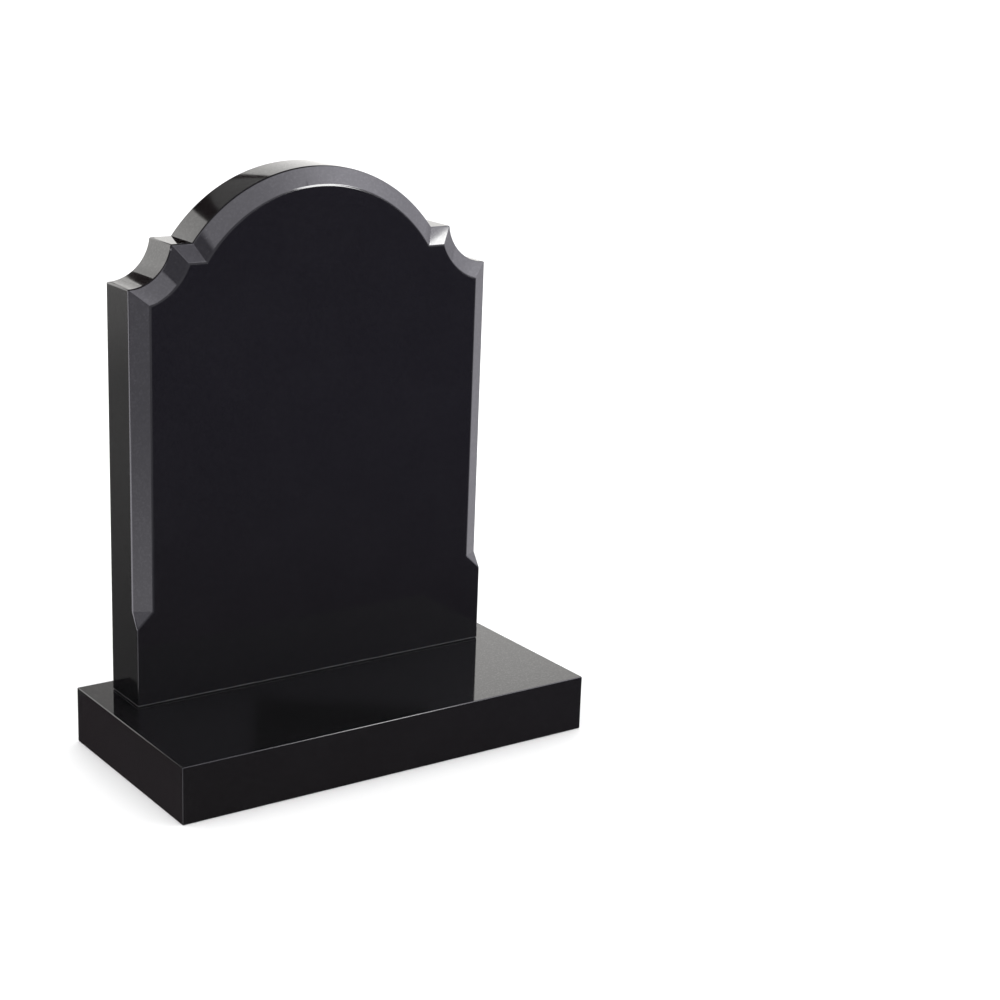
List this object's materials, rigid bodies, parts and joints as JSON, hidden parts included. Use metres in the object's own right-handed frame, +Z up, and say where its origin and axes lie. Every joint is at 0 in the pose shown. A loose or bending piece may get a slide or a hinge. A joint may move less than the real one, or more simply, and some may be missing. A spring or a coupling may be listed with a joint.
{
  "type": "headstone",
  "caption": "Upright polished black headstone: arched tablet with square checks, scooped shoulders and a stopped front chamfer, on a rectangular base.",
  "frame": {"origin": "centre of the base's underside", "axes": "+Z up, X along the width, and the inscription face of the tablet looks towards -Y"},
  "size_m": [0.6096, 0.3048, 0.7623],
  "materials": {
    "tablet_stone": "polished",
    "base_stone": "polished"
  },
  "bodies": {
    "root": {"tablet": "tablet_stone", "base": "base_stone"}
  },
  "joints": []
}
